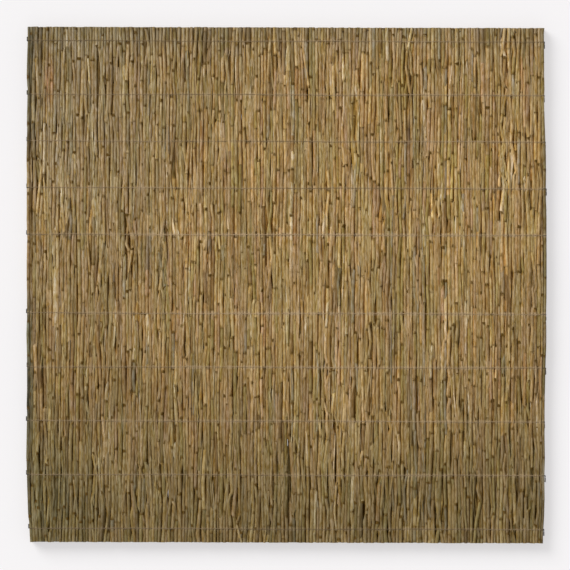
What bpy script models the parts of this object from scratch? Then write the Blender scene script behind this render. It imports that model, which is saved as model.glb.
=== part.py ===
"""Reed screen panel, 1.8 m high and about as wide, lying on its back.

The reeds run along Y and lie side by side across X, several deep. Rows of galvanised wire cross
them on the front and on the back. Staples of thinner wire go round both wires and pass between
the reeds, so the reeds stand in bands from one staple to the next. At each side edge a row's
front and back wires come together and are twisted into a short tail.

The outer reeds of each band are one ridged layer, because every reed there touches its
neighbours. The reeds between the two outer layers are hidden, and are one plain core for each
band.

Metres, +Z up. The origin is under the middle of the panel, at its lowest point.
"""

import math
import random

import bmesh
import bpy

# The panel
PANEL_WIDTH = 1.810  # across the reeds, over their outer sides
PANEL_HEIGHT = 1.800  # the cut length of the reeds
CLEARANCE = 0.0003  # between pieces that touch

# The reeds
REED_DIAMETER = 0.0110  # of an average reed
REED_SPREAD = 0.24  # the thickest and the thinnest differ from the average by this share
REED_RELIEF = 0.0008  # how far the lowest ridge lies under the highest
VALLEY_DEPTH = 0.0050  # from the highest ridge down to the groove between two reeds
REED_FACETS = 3  # flats round the part of a reed that shows between its neighbours
SIDE_STEPS = 4  # flats round the outer half of a reed at the side of a band
CORE_ROWS = 2  # reeds hidden between the two outer layers, counted through the thickness
NESTING = 0.87  # the height of a row of round reeds that lie in the row below, in diameters
REED_SEED = 11

# The wires
WIRE_DIAMETER = 0.0020
END_MARGIN = 0.0487  # from the reeds' cut ends to the first and the last row
LOWER_ROWS = 5
LOWER_ROW_PITCH = 0.1880
TOP_ROW_PITCH = 0.1870  # from the topmost row to the one below it
UPPER_ROW_PITCH = 0.1630

# The staples
STAPLE_DIAMETER = 0.0012
STAPLE_PITCH = 0.160
STAPLE_PLAY = 0.0014  # between the side of the front wire and a leg
STAPLE_END_GAP = 0.0010  # between the two ends, which are bent in under the back wire
STAPLE_BITE = 0.0005  # how deep a staple's crown is pressed into the front wire

# The twisted tails at the side edges
TWIST_LAY = 4.5  # the height of a full turn, in wire diameters
TWIST_TURNS = 1.0
TWIST_STEPS = 5  # points for each turn
TWIST_LEAD = 0.0040  # height over which a strand comes in from its straight leg
EDGE_BEND = 0.0016  # the corner where a wire turns down the side edge

# What follows from these sizes
WIRE_RADIUS = WIRE_DIAMETER / 2
STAPLE_RADIUS = STAPLE_DIAMETER / 2
STAPLE_LEG_OFFSET = WIRE_RADIUS + STAPLE_PLAY + STAPLE_RADIUS
TWIST_RADIUS = (WIRE_RADIUS + CLEARANCE / 2) / math.cos(math.pi / TWIST_STEPS)
TWIST_PITCH = TWIST_LAY * WIRE_DIAMETER

# Heights, from the ground up
BACK_WIRE_Z = STAPLE_DIAMETER + CLEARANCE + WIRE_RADIUS
BACK_Z = BACK_WIRE_Z + WIRE_RADIUS + CLEARANCE
CORE_THICKNESS = CORE_ROWS * REED_DIAMETER * NESTING
CORE_Z = BACK_Z + REED_DIAMETER + CLEARANCE
FRONT_Z = CORE_Z + CORE_THICKNESS + CLEARANCE + REED_DIAMETER
FRONT_WIRE_Z = FRONT_Z + CLEARANCE + WIRE_RADIUS
CROWN_Z = FRONT_WIRE_Z + WIRE_RADIUS + STAPLE_RADIUS - STAPLE_BITE
MIDDLE_Z = (BACK_WIRE_Z + FRONT_WIRE_Z) / 2

STRAW = (0.42, 0.31, 0.15)
PITH = (0.30, 0.22, 0.11)
ZINC = (0.52, 0.52, 0.53)


def clear_scene():
    """Remove whatever the open file holds."""
    for obj in list(bpy.data.objects):
        bpy.data.objects.remove(obj, do_unlink=True)


def new_collection(name):
    """Return a new collection in the scene."""
    collection = bpy.data.collections.new(name)
    bpy.context.scene.collection.children.link(collection)
    return collection


def new_material(name, colour, roughness, metallic=0.0):
    """Return a plain surface of one colour."""
    material = bpy.data.materials.new(name)
    material.use_nodes = True
    shader = material.node_tree.nodes["Principled BSDF"]
    shader.inputs["Base Color"].default_value = (*colour, 1.0)
    shader.inputs["Roughness"].default_value = roughness
    shader.inputs["Metallic"].default_value = metallic
    return material


def staple_columns():
    """Return the X of each column of staples, in gaps between reeds."""
    count = max(1, round(PANEL_WIDTH / STAPLE_PITCH) - 1)
    return [(i - (count - 1) / 2) * STAPLE_PITCH for i in range(count)]


def bands():
    """Return the left and right X of each band of reeds, with room for the staples between."""
    half_gap = STAPLE_RADIUS + CLEARANCE
    columns = staple_columns()
    lefts = [-PANEL_WIDTH / 2] + [x + half_gap for x in columns]
    rights = [x - half_gap for x in columns] + [PANEL_WIDTH / 2]
    return list(zip(lefts, rights))


def wire_rows():
    """Return the Y of each row, counted from both cut ends towards the wider gap between."""
    bottom = -PANEL_HEIGHT / 2 + END_MARGIN
    top = PANEL_HEIGHT / 2 - END_MARGIN
    lower = [bottom + i * LOWER_ROW_PITCH for i in range(LOWER_ROWS)]
    first = top - TOP_ROW_PITCH
    more = int((first - lower[-1]) / UPPER_ROW_PITCH)
    upper = [first - i * UPPER_ROW_PITCH for i in range(more)]
    return sorted(lower + upper + [top])


def reed_widths(width, chance):
    """Return the diameters of reeds that fill this width exactly."""
    count = max(2, round(width / REED_DIAMETER))
    raw = [1 + chance.uniform(-REED_SPREAD, REED_SPREAD) for _ in range(count)]
    return [width * size / sum(raw) for size in raw]


def ridge(left, width, height):
    """Return the points of one reed's upper side, from the left, without its two grooves."""
    radius = width / 2
    valley = math.asin(max(0.0, 1 - VALLEY_DEPTH / radius))
    step = (math.pi - 2 * valley) / REED_FACETS
    angles = [math.pi - valley - i * step for i in range(1, REED_FACETS)]
    top = max(math.sin(angle) for angle in angles)
    return [
        (left + radius + radius * math.cos(angle), height - radius * (top - math.sin(angle)))
        for angle in angles
    ]


def round_side(edge, towards, bottom, top):
    """Return the points of a reed's outer half, upwards, for a reed that stands at the edge X.

    Towards is 1 where the band lies on the edge's +X side, and -1 where it lies on the other.
    """
    radius = (top - bottom) / 2
    angles = [-math.pi / 2 + i * math.pi / SIDE_STEPS for i in range(SIDE_STEPS + 1)]
    return [
        (edge + towards * radius * (1 - math.cos(angle)), (bottom + top) / 2 + radius * math.sin(angle))
        for angle in angles
    ]


def layer_outline(left, right, chance):
    """Return the section of a band's outer layer, ridges up, the highest one near z = 0."""
    low = -REED_DIAMETER
    high = -REED_RELIEF
    points = round_side(left, 1, low, high)[:-1]
    x = left
    widths = reed_widths(right - left, chance)
    for i, width in enumerate(widths):
        if i:
            points.append((x, -VALLEY_DEPTH))
        points += ridge(x, width, -chance.uniform(0, REED_RELIEF))
        x += width
    return points + round_side(right, -1, low, high)[-2::-1]


def core_outline(left, right):
    """Return the section of a band's hidden rows, whose round sides show at the panel's edge."""
    row = CORE_THICKNESS / CORE_ROWS
    rise = []
    for i in range(CORE_ROWS):
        rise += round_side(left, 1, i * row, (i + 1) * row)[1 if i else 0 :]
    fall = [(left + right - x, z) for x, z in reversed(rise)]
    return rise + fall


def extruded(name, outline, length):
    """Return an object that holds a section in X and Z, drawn out along Y."""
    curve = bpy.data.curves.new(name, "CURVE")
    curve.dimensions = "2D"
    curve.fill_mode = "BOTH"
    curve.extrude = length / 2
    spline = curve.splines.new("POLY")
    spline.points.add(len(outline) - 1)
    for point, (x, z) in zip(spline.points, outline):
        point.co = (x, z, 0, 1)
    spline.use_cyclic_u = True
    obj = bpy.data.objects.new(name, curve)
    obj.rotation_euler = (math.pi / 2, 0, 0)
    return obj


def outer_layer(name, band, height, facing, seed):
    """Return a band's front layer, or its back one where facing is -1."""
    outline = layer_outline(*band, random.Random(seed))
    turned = [(x, facing * z) for x, z in outline]
    obj = extruded(name, turned, PANEL_HEIGHT)
    obj.location = (0, 0, height)
    return obj


def core(name, band):
    """Return the hidden reeds of a band as one block."""
    obj = extruded(name, core_outline(*band), PANEL_HEIGHT)
    obj.location = (0, 0, CORE_Z)
    return obj


def tube(name, points, diameter, resolution):
    """Return a wire along these points, as a curve."""
    curve = bpy.data.curves.new(name, "CURVE")
    curve.dimensions = "3D"
    curve.bevel_depth = diameter / 2
    curve.bevel_resolution = resolution
    curve.use_fill_caps = True
    spline = curve.splines.new("POLY")
    spline.points.add(len(points) - 1)
    for point, place in zip(spline.points, points):
        point.co = (*place, 1)
    return bpy.data.objects.new(name, curve)


def as_mesh(curve_object):
    """Return a closed mesh of a curve object, which it replaces."""
    collection = bpy.context.scene.collection
    collection.objects.link(curve_object)
    graph = bpy.context.evaluated_depsgraph_get()
    mesh = bpy.data.meshes.new_from_object(curve_object.evaluated_get(graph))
    welded = bmesh.new()
    welded.from_mesh(mesh)
    bmesh.ops.remove_doubles(welded, verts=welded.verts, dist=1e-6)
    welded.to_mesh(mesh)
    welded.free()
    mesh.transform(curve_object.matrix_world)
    bpy.data.objects.remove(curve_object)
    return mesh


def twisted_strand(side):
    """Return one strand of the tail at the right-hand edge, where side is 1 for the front wire."""
    leg_x = PANEL_WIDTH / 2 + CLEARANCE + WIRE_RADIUS
    axis_x = leg_x + TWIST_RADIUS
    steps = round(TWIST_TURNS * TWIST_STEPS)
    points = [(axis_x - side * TWIST_RADIUS, 0, MIDDLE_Z + side * (TWIST_RADIUS + TWIST_LEAD))]
    for i in range(steps + 1):
        turn = i / TWIST_STEPS
        angle = side * math.pi / 2 - 2 * math.pi * turn
        points.append(
            (
                axis_x + TWIST_RADIUS * math.cos(angle),
                turn * TWIST_PITCH,
                MIDDLE_Z + TWIST_RADIUS * math.sin(angle),
            )
        )
    return points


def wire_path(height, side):
    """Return a row's wire from one tail to the other, on the front where side is 1."""
    leg_x = PANEL_WIDTH / 2 + CLEARANCE + WIRE_RADIUS
    bend = [(leg_x - EDGE_BEND, 0, height), (leg_x, 0, height - side * EDGE_BEND)]
    half = bend + twisted_strand(side)
    mirrored = [(-x, y, z) for x, y, z in reversed(half)]
    return mirrored + half


def staple_path(x):
    """Return a staple's wire, from under the back wire, over the front wire and back."""
    end_y = STAPLE_END_GAP / 2
    half = [
        (x, STAPLE_LEG_OFFSET, CROWN_Z),
        (x, STAPLE_LEG_OFFSET, STAPLE_RADIUS),
        (x, end_y, STAPLE_RADIUS),
    ]
    mirrored = [(x, -y, z) for x, y, z in reversed(half)]
    return mirrored + half


def joined(meshes):
    """Return one mesh that holds several, as separate bodies."""
    whole = bmesh.new()
    for mesh in meshes:
        whole.from_mesh(mesh)
    result = bpy.data.meshes.new("joined")
    whole.to_mesh(result)
    whole.free()
    return result


def stapled_wire_mesh(cutters):
    """Return a row's front wire with its staples pressed onto it."""
    wire = as_mesh(tube("front_wire_blank", wire_path(FRONT_WIRE_Z, 1), WIRE_DIAMETER, 1))
    staples = [as_mesh(tube("staple", staple_path(x), STAPLE_DIAMETER, 0)) for x in staple_columns()]
    tool = bpy.data.objects.new("staples", joined(staples))
    tool.hide_render = True
    tool.display_type = "WIRE"
    cutters.objects.link(tool)
    blank = bpy.data.objects.new("front_wire_blank", wire)
    blank.hide_render = True
    blank.display_type = "WIRE"
    cutters.objects.link(blank)
    union = blank.modifiers.new("staples", "BOOLEAN")
    union.operation = "UNION"
    union.object = tool
    graph = bpy.context.evaluated_depsgraph_get()
    return bpy.data.meshes.new_from_object(blank.evaluated_get(graph))


def build_reeds(collection, parent):
    """Add the front layer, the core and the back layer of every band."""
    straw = new_material("reed", STRAW, 0.75)
    pith = new_material("reed_core", PITH, 0.9)
    for number, band in enumerate(bands(), start=1):
        seed = REED_SEED * number
        pieces = (
            (outer_layer(f"front_reeds_{number}", band, FRONT_Z, 1, seed), straw),
            (core(f"core_reeds_{number}", band), pith),
            (outer_layer(f"back_reeds_{number}", band, BACK_Z, -1, seed + 1), straw),
        )
        for obj, material in pieces:
            obj.data.materials.append(material)
            obj.parent = parent
            collection.objects.link(obj)


def build_wires(collection, cutters, parent):
    """Add a front wire with its staples, and a back wire, for every row."""
    zinc = new_material("zinc_wire", ZINC, 0.45, metallic=0.8)
    front = stapled_wire_mesh(cutters)
    back = as_mesh(tube("back_wire", wire_path(BACK_WIRE_Z, -1), WIRE_DIAMETER, 1))
    for mesh in (front, back):
        mesh.materials.append(zinc)
        mesh.shade_smooth()
        mesh.set_sharp_from_angle(angle=math.radians(70))
    for number, y in enumerate(wire_rows(), start=1):
        for name, mesh in (("front_wire", front), ("back_wire", back)):
            obj = bpy.data.objects.new(f"{name}_{number}", mesh)
            obj.location = (0, y, 0)
            obj.parent = parent
            collection.objects.link(obj)


def build_panel():
    """Build the panel."""
    clear_scene()
    panel = new_collection("reed_screen_panel")
    cutters = new_collection("cutters")
    reeds = bpy.data.objects.new("reeds", None)
    wires = bpy.data.objects.new("wires", None)
    for empty in (reeds, wires):
        panel.objects.link(empty)
    build_reeds(panel, reeds)
    build_wires(panel, cutters, wires)


build_panel()
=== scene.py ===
"""Reed screen panel lying on its back: its stalks, its wire rows with their staples, and a plain studio.

The stalks of all layers are first packed between the wires. They are then made band by band, from
one column of staples to the next. A band takes the place of the three solids that the frame has for
it, and a row of wire takes the place of one. Lengths are in metres.
"""

import logging
import math
import random
from dataclasses import dataclass, field
from enum import Enum
from typing import Any, NamedTuple, Sequence

import bpy
import numpy as np
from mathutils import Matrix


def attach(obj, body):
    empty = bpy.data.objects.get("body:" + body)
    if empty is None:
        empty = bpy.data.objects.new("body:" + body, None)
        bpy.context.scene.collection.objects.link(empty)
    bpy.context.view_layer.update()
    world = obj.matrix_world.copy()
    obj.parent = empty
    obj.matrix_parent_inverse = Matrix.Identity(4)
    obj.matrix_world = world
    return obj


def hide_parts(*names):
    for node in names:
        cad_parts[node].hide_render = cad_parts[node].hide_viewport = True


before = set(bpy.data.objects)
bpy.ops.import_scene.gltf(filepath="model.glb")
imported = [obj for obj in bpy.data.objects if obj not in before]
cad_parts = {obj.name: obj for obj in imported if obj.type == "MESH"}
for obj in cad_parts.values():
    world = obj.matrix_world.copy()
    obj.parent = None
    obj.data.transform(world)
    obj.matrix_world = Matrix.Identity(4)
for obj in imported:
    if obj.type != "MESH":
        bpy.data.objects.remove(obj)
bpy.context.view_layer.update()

log = logging.getLogger("reed_screen")

Colour = tuple[float, float, float]
Pairs = tuple[tuple[float, float], ...]

BODY = "root"
UV_NAME = "OFBake"
PANEL_SEED = 2417
TURN = 2 * math.pi


def smooth(start: float, end: float, value: np.ndarray) -> np.ndarray:
    """Rises softly from 0 at one value to 1 at another.

    Args:
        start: The value where the rise begins.
        end: The value where it is complete. It may be the lower one of the two.
        value: The values to look up.

    Returns:
        The heights of the curve, from 0 to 1.
    """
    share = np.clip((np.asarray(value, float) - start) / (end - start), 0.0, 1.0)
    return share * share * (3.0 - 2.0 * share)


def mixed(first: Any, second: Any, share: np.ndarray) -> np.ndarray:
    """Mixes two colours by a share that runs from 0, the first, to 1, the second."""
    return np.asarray(first) * (1.0 - share) + np.asarray(second) * share


def along_curve(pairs: Pairs, y: np.ndarray) -> np.ndarray:
    """Looks up a curve that is given as heights on the panel and the values there."""
    return np.interp(y, *np.array(pairs).T)


def joined(*columns: Any) -> np.ndarray:
    """Puts numbers side by side along a new last axis and spreads out those that have fewer places."""
    return np.stack(np.broadcast_arrays(*columns), axis=-1)


def placed(name: str, data: bpy.types.ID) -> bpy.types.Object:
    """Makes an object from its data and links it to the scene."""
    item = bpy.data.objects.new(name, data)
    bpy.context.scene.collection.objects.link(item)
    return item


@dataclass(frozen=True)
class Patch:
    """A soft round patch of the panel: its middle, how far it spreads each way and how strong it is."""

    x: float
    y: float
    across: float
    along: float
    strength: float

    def over(self, x: np.ndarray, y: np.ndarray) -> np.ndarray:
        """The patch's strength at places on the panel."""
        return self.strength * np.exp(-(((x - self.x) / self.across) ** 2) - ((y - self.y) / self.along) ** 2)


@dataclass(frozen=True)
class Chance:
    """A number that is drawn: its middle, how far it spreads and the limits that it is kept in."""

    middle: float
    spread: float
    low: float
    high: float

    def draw(self, rng: np.random.Generator, count: int | None = None) -> Any:
        """Draws one number, or as many as are asked for."""
        return np.clip(rng.normal(self.middle, self.spread, count), self.low, self.high)


class Layer(Enum):
    """The layers of reeds from the face of the panel to its back."""

    FACE = 0
    SECOND = 1
    THIRD = 2
    BACK = 3


class Tone(Enum):
    """The colours that dry reed takes, how common each is, and how much commoner it gets at the foot."""

    STRAW = ((0.392, 0.266, 0.106), 0.26, 0.00)
    GOLDEN = ((0.384, 0.250, 0.091), 0.17, 0.00)
    TAN = ((0.348, 0.219, 0.078), 0.19, 0.00)
    GREY_BROWN = ((0.334, 0.224, 0.096), 0.15, 0.05)
    MAUVE = ((0.348, 0.219, 0.104), 0.06, 0.00)
    OLIVE = ((0.290, 0.204, 0.062), 0.10, 0.14)
    RUST = ((0.340, 0.192, 0.074), 0.012, 0.00)
    CREAM = ((0.509, 0.389, 0.214), 0.022, 0.00)
    SLATE = ((0.262, 0.208, 0.118), 0.035, 0.00)
    BROWN = ((0.219, 0.128, 0.039), 0.045, 0.00)

    def __init__(self, colour: Colour, share: float, foot_share: float) -> None:
        """Names the tone's three values."""
        self.colour, self.share, self.foot_share = colour, share, foot_share


@dataclass(frozen=True)
class Row:
    """One row of wire: its height on the panel, its dirt, its painted lightness, how far it rubs the reeds.
    """

    y: float
    dirt: float
    light: float
    rub: float


@dataclass(frozen=True)
class PanelPlan:
    """The sizes that the reeds and the wires of the panel share.

    The outline has a height on the panel and how far the reeds reach to the left and to the right there.
    """

    half_height: float = 0.900
    front_z: float = 0.04554
    back_z: float = 0.00380
    front_wire_z: float = 0.04684
    back_wire_z: float = 0.00250
    edge: float = 0.9050
    rows: tuple[Row, ...] = (
        Row(-0.8513, dirt=0.92, light=0.60, rub=0.28),
        Row(-0.6633, dirt=0.60, light=0.72, rub=0.42),
        Row(-0.4753, dirt=0.45, light=0.85, rub=0.48),
        Row(-0.2873, dirt=0.55, light=0.92, rub=0.58),
        Row(-0.0993, dirt=0.45, light=0.96, rub=0.68),
        Row(0.1753, dirt=0.40, light=0.98, rub=0.74),
        Row(0.3383, dirt=1.00, light=0.90, rub=0.42),
        Row(0.5013, dirt=0.95, light=0.86, rub=0.40),
        Row(0.6643, dirt=0.95, light=0.86, rub=0.45),
        Row(0.8513, dirt=1.00, light=0.80, rub=0.24),
    )
    staple_columns: tuple[float, ...] = (-0.72, -0.56, -0.40, -0.24, -0.08, 0.08, 0.24, 0.40, 0.56, 0.72)
    outline: tuple[tuple[float, float, float], ...] = (
        (-0.90, 0.892, 0.899), (-0.85, 0.897, 0.902), (-0.75, 0.902, 0.904),
        (-0.66, 0.905, 0.906), (-0.56, 0.907, 0.904), (-0.47, 0.906, 0.903),
        (-0.37, 0.904, 0.904), (-0.28, 0.904, 0.907), (-0.19, 0.907, 0.909),
        (0.00, 0.906, 0.909), (0.19, 0.907, 0.909), (0.28, 0.908, 0.908),
        (0.47, 0.908, 0.905), (0.56, 0.907, 0.900), (0.66, 0.907, 0.899),
        (0.76, 0.909, 0.898), (0.85, 0.908, 0.899), (0.90, 0.906, 0.899),
    )
    bulge: float = 0.0017
    pinch: float = 0.0028
    staple_gap: float = 0.0009
    reed_width: float = 0.0110
    reed_spread: float = 0.24
    reed_seed: int = 11

    def band_edges(self) -> list[tuple[float, float]]:
        """The left and right edge of each band of reeds between two columns of staples."""
        marks = (-self.edge, *self.staple_columns, self.edge)
        return list(zip(marks[:-1], marks[1:]))

    def ridges(self, back: bool) -> np.ndarray:
        """Where the reeds of an outer layer lie on the solids of the frame.

        Args:
            back: True for the back layer, False for the face.

        Returns:
            The middle and the width of each reed across the panel (reeds, 2).
        """
        found = []
        edges = self.band_edges()
        for number, (left, right) in enumerate(edges, start=1):
            left += self.staple_gap if number > 1 else 0.0
            right -= self.staple_gap if number < len(edges) else 0.0
            chance = random.Random(self.reed_seed * number + (1 if back else 0))
            count = max(2, round((right - left) / self.reed_width))
            raw = [1 + chance.uniform(-self.reed_spread, self.reed_spread) for _ in range(count)]
            width = np.array(raw) / sum(raw) * (right - left)
            found.append(joined(left + np.cumsum(width) - width / 2, width))
        return np.concatenate(found)

    def from_row(self, y: np.ndarray) -> np.ndarray:
        """How far a height of the panel is from the nearest row of wire."""
        return np.min(np.abs(np.asarray(y)[..., None] - np.array([row.y for row in self.rows])), axis=-1)

    def half_width(self, y: np.ndarray, right: bool) -> np.ndarray:
        """How far the reeds reach to one side at a height of the panel, less where a row ties them in."""
        heights, to_left, to_right = np.array(self.outline).T
        reach = np.interp(y, heights, to_right if right else to_left)
        return reach - self.pinch * smooth(0.055, 0.005, self.from_row(y))

    def slack(self, y: np.ndarray) -> np.ndarray:
        """How far the reeds swell out between two rows of wire, which hold them in."""
        return self.bulge * smooth(0.004, 0.070, self.from_row(y))


PLAN = PanelPlan()


class Value:
    """A number that varies over a surface: a socket that takes Python's arithmetic."""

    def __init__(self, board: "Board", socket: bpy.types.NodeSocket) -> None:
        """Wraps one output socket of a board."""
        self.board = board
        self.socket = socket

    def _math(self, operation: str, first: Any, second: Any) -> "Value":
        """Adds a Math node for two numbers or Values and gives its result."""
        node = self.board.add("ShaderNodeMath", {"operation": operation}, {0: first, 1: second})
        return Value(self.board, node.outputs[0])

    def __add__(self, other: Any) -> "Value":
        """This value plus another."""
        return self._math("ADD", self, other)

    def __radd__(self, other: Any) -> "Value":
        """Another value plus this one."""
        return self._math("ADD", other, self)

    def __sub__(self, other: Any) -> "Value":
        """This value less another."""
        return self._math("SUBTRACT", self, other)

    def __rsub__(self, other: Any) -> "Value":
        """Another value less this one."""
        return self._math("SUBTRACT", other, self)

    def __mul__(self, other: Any) -> "Value":
        """This value times another."""
        return self._math("MULTIPLY", self, other)

    def __rmul__(self, other: Any) -> "Value":
        """Another value times this one."""
        return self._math("MULTIPLY", other, self)

    def between(self, low: float, high: float) -> "Value":
        """Runs from 0 where the value is low to 1 where it is high, and stays in that range."""
        inputs = {"Value": self, "From Min": low, "From Max": high}
        node = self.board.add("ShaderNodeMapRange", {"interpolation_type": "SMOOTHSTEP"}, inputs)
        return Value(self.board, node.outputs["Result"])


class Board:
    """The node tree of one material or world, with one method that adds any node to it."""

    def __init__(self, tree: bpy.types.NodeTree) -> None:
        """Empties a node tree and works on it."""
        self.tree = tree
        tree.nodes.clear()

    def add(
        self,
        kind: str,
        settings: dict[str, Any] | None = None,
        inputs: dict[str | int, Any] | None = None,
    ) -> bpy.types.Node:
        """Adds one node.

        Args:
            kind: The node's type.
            settings: Its own settings, set before its sockets.
            inputs: The number, colour, socket or Value for each input, by name or place.

        Returns:
            The new node.
        """
        node = self.tree.nodes.new(kind)
        for name, setting in (settings or {}).items():
            setattr(node, name, setting)
        for name, given in (inputs or {}).items():
            given = given.socket if isinstance(given, Value) else given
            if isinstance(given, bpy.types.NodeSocket):
                self.tree.links.new(given, node.inputs[name])
            else:
                node.inputs[name].default_value = given
        return node

    def place(self) -> bpy.types.NodeSocket:
        """The place on the piece, in metres of the frame."""
        return self.add("ShaderNodeTexCoord").outputs["Object"]

    def attribute(self, name: str) -> bpy.types.NodeSocket:
        """Reads a colour that the mesh carries at its points."""
        return self.add("ShaderNodeAttribute", {"attribute_name": name}).outputs["Color"]

    def parts(self, colour: bpy.types.NodeSocket) -> tuple[Value, Value, Value]:
        """Splits a colour into its three numbers."""
        node = self.add("ShaderNodeSeparateColor", None, {0: colour})
        return tuple(Value(self, part) for part in node.outputs)

    def vector(self, operation: str, first: Any, second: Any) -> bpy.types.NodeSocket:
        """Adds one Vector Math node for two vectors and gives its result."""
        return self.add("ShaderNodeVectorMath", {"operation": operation}, {0: first, 1: second}).outputs[0]

    def blend(self, share: Any, first: Any, second: Any) -> bpy.types.NodeSocket:
        """Mixes two colours.

        Args:
            share: How much of the second colour there is.
            first: A colour or a socket.
            second: A colour or a socket.

        Returns:
            The mixed colour.
        """
        first, second = ((*c, 1.0) if isinstance(c, tuple) else c for c in (first, second))
        settings = {"data_type": "RGBA", "clamp_factor": True}
        return self.add("ShaderNodeMix", settings, {0: share, 6: first, 7: second}).outputs[2]

    def noise(self, place: bpy.types.NodeSocket, scale: Colour, detail: float) -> Value:
        """A cloudy number from 0 to 1 that changes with the place, at its own scale each way."""
        inputs = {"Vector": self.vector("MULTIPLY", place, scale), "Scale": 1.0, "Detail": detail}
        return Value(self, self.add("ShaderNodeTexNoise", {"noise_dimensions": "3D"}, inputs).outputs[0])

    def seen(self) -> Value:
        """1 for the camera and for what it sees mirrored or through something, 0 for other light."""
        outputs = self.add("ShaderNodeLightPath").outputs
        total = Value(self, outputs["Is Camera Ray"]) + Value(self, outputs["Is Glossy Ray"])
        return (total + Value(self, outputs["Is Transmission Ray"])).between(0.0, 1.0)

    def shader(self, kind: str, colour: Colour, strength: float | None = None) -> bpy.types.NodeSocket:
        """Adds a plain shader of one colour, with its strength if it has one."""
        extra = {} if strength is None else {"Strength": strength}
        return self.add(kind, None, {"Color": (*colour, 1.0), **extra}).outputs[0]

    def end(self, kind: str, surface: bpy.types.NodeSocket) -> None:
        """Makes a shader the surface of the material or world."""
        self.add(kind, None, {"Surface": surface})

    def mix_shaders(self, share: Any, first: Any, second: Any) -> bpy.types.NodeSocket:
        """Mixes two shaders."""
        return self.add("ShaderNodeMixShader", None, {0: share, 1: first, 2: second}).outputs[0]

    def surface(self, inputs: dict[str | int, Any]) -> None:
        """Adds the Principled shader with these inputs and makes it the surface."""
        self.end("ShaderNodeOutputMaterial", self.add("ShaderNodeBsdfPrincipled", None, inputs).outputs[0])


@dataclass(frozen=True)
class Finish:
    """A finish with a name. Each kind of finish lays out its own nodes."""

    name: str

    def paint(self, board: Board) -> None:
        """Adds the finish's nodes to a board."""
        raise NotImplementedError

    def make(self) -> bpy.types.Material:
        """Builds the finish's material."""
        material = bpy.data.materials.new(self.name)
        material.use_nodes = True
        self.paint(Board(material.node_tree))
        return material


@dataclass(frozen=True)
class ReedFinish(Finish):
    """Dry reed: fine grooves along the stalk, cloudy greying, dark joints and small dark freckles."""

    name: str = "dry_reed"
    joint: Colour = (0.088, 0.046, 0.004)
    freckle: Colour = (0.105, 0.062, 0.018)
    weathered: Colour = (0.280, 0.203, 0.100)
    dark_grain: Colour = (0.738, 0.636, 0.312)
    pale_grain: Colour = (1.284, 1.385, 1.790)
    rubbed: Colour = (0.430, 0.316, 0.185)
    shift: Colour = (3.1, 7.7, 5.3)
    streak_scale: Colour = (160.0, 36.0, 160.0)
    fibre_scale: Colour = (380.0, 70.0, 380.0)
    cloud_scale: Colour = (60.0, 22.0, 60.0)
    freckle_scale: Colour = (330.0, 120.0, 330.0)
    groove_scale: Colour = (820.0, 9.0, 820.0)
    rub_scale: Colour = (70.0, 6.0, 6.0)
    streak_share: float = 0.73
    weathered_share: float = 0.45
    freckle_share: float = 0.60
    rub_width: float = 0.0085
    groove_depth: float = 0.00025
    sheen: float = 0.10

    def paint(self, board: Board) -> None:
        """Adds the nodes, which read the tints and marks of the mesh."""
        tint = board.attribute("tint")
        joint, own, sheath = board.parts(board.attribute("marks"))
        moved = {axis: own * shift for axis, shift in enumerate(self.shift)}
        spot = board.vector("ADD", board.place(), board.add("ShaderNodeCombineXYZ", None, moved).outputs[0])
        streak = board.noise(spot, self.streak_scale, 2.0).between(0.32, 0.68)
        fibre = board.noise(spot, self.fibre_scale, 1.0).between(0.32, 0.68)
        cloud = board.noise(spot, self.cloud_scale, 3.0)
        freckle = board.noise(spot, self.freckle_scale, 1.0).between(0.66, 0.74)
        groove = board.noise(spot, self.groove_scale, 1.0)
        grain = self.streak_share * streak + (1.0 - self.streak_share) * fibre
        colour = board.vector("MULTIPLY", tint, board.blend(grain, self.dark_grain, self.pale_grain))
        colour = board.blend(cloud.between(0.50, 0.78) * self.weathered_share, colour, self.weathered)
        colour = board.blend(freckle * self.freckle_share, colour, self.freckle)
        colour = board.blend(joint * (0.55 + 0.9 * streak), colour, self.joint)
        colour = board.blend(self._rub(board, cloud), colour, self.rubbed)
        relief = {"Strength": 0.6, "Distance": self.groove_depth, "Height": groove + 0.6 * streak}
        board.surface(
            {
                "Base Color": colour,
                "Roughness": 0.46 + 0.24 * cloud + 0.12 * sheath,
                "Normal": board.add("ShaderNodeBump", None, relief).outputs[0],
                "Specular IOR Level": self.sheen,
            }
        )

    def _rub(self, board: Board, cloud: Value) -> Value:
        """Works out where the rows of wire have rubbed the reeds pale.

        Args:
            board: The material's nodes.
            cloud: A cloudy number that breaks the rubbed line up.

        Returns:
            How rubbed the reed is, from 0 to 1, and less towards the left side.
        """
        place = board.place()
        axes = board.add("ShaderNodeSeparateXYZ", None, {0: place}).outputs
        side = 0.5 + 0.5 * Value(board, axes["X"]).between(-0.80, -0.20)
        patch = board.noise(place, self.rub_scale, 2.0).between(0.34, 0.60)
        total: Any = 0.0
        for row in PLAN.rows:
            away = Value(board, axes["Y"]) - row.y
            total = total + (away * away).between(self.rub_width**2, 0.0) * row.rub
        return total * patch * side * (0.5 + cloud)


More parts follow.
